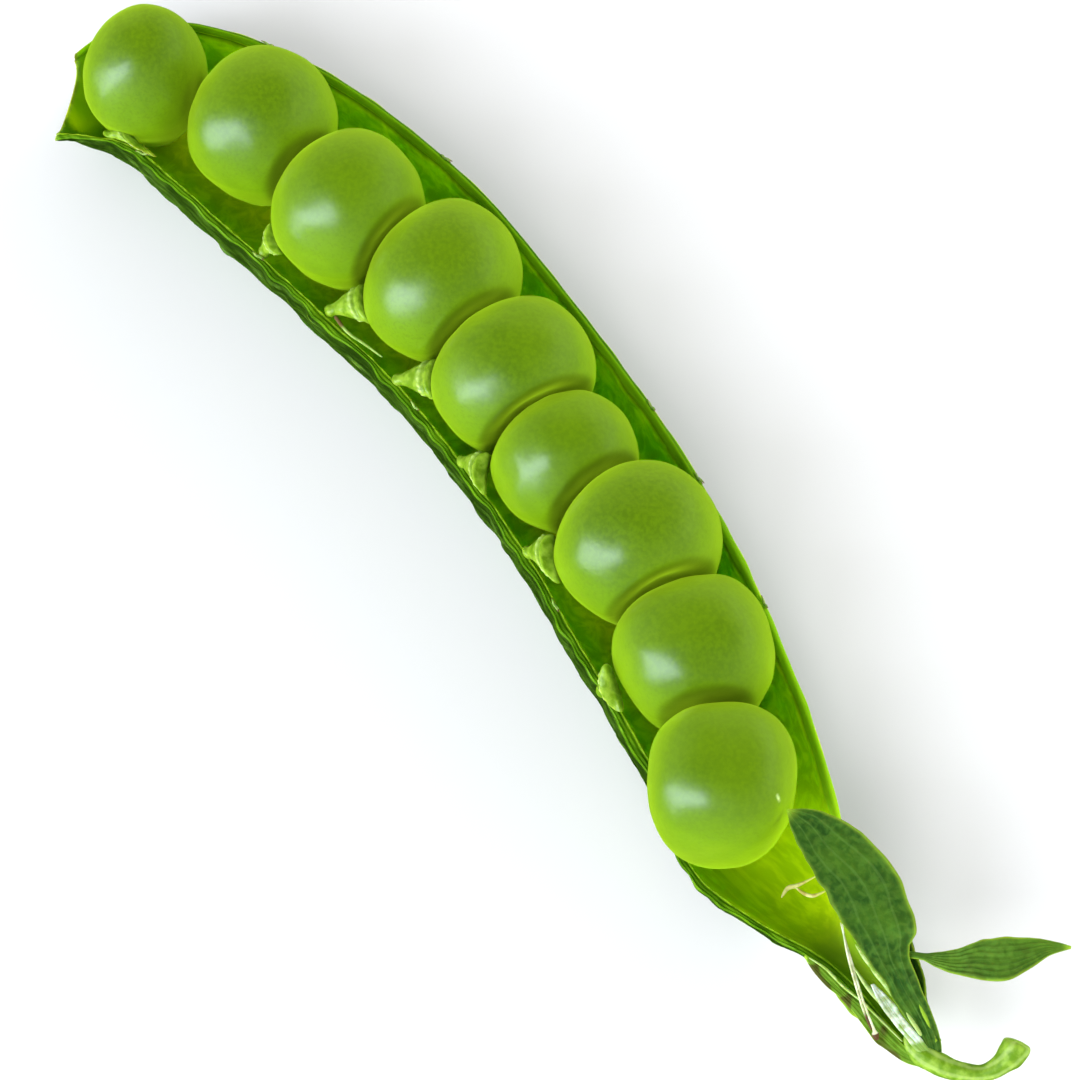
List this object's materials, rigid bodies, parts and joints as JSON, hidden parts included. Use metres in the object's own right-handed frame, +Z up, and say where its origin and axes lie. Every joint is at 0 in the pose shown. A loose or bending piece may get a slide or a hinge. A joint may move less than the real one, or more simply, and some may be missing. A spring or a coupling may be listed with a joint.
{
  "type": "pea pod",
  "caption": "Opened green pea pod lying on its back: one curved half of the shell with round peas in a row, and the calyx and cut stalk at its end.",
  "frame": {"origin": "on the surface that the pod lies on, below the middle of its bounding box", "axes": "+X from the blunt tip to the stalk, +Y across the pod towards the outer side of its bend, +Z up"},
  "size_m": [0.095, 0.0212, 0.0128],
  "materials": {
    "shell": "satin green plant skin",
    "pea": "waxy yellow-green",
    "funicle": "pale translucent green",
    "sepal": "matt veined leaf green",
    "pedicel": "satin pale green",
    "dry_tissue": "dry and papery"
  },
  "bodies": {
    "root": {"pod_valve": "shell", "pea_1": "pea", "pea_2": "pea", "pea_3": "pea", "pea_4": "pea", "pea_5": "pea", "pea_6": "pea", "pea_7": "pea", "pea_8": "pea", "pea_9": "pea", "funicle_1": "funicle", "funicle_3": "funicle", "funicle_4": "funicle", "funicle_5": "funicle", "funicle_6": "funicle", "funicle_7": "funicle", "funicle_8": "funicle", "calyx_cup": "sepal", "sepal_upper": "sepal", "sepal_right": "sepal", "sepal_left": "sepal", "sepal_under": "sepal", "sepal_back": "sepal", "pedicel": "pedicel", "stamen_sheath": "dry_tissue", "stamen_filament": "dry_tissue", "dried_thread": "dry_tissue"}
  },
  "joints": []
}
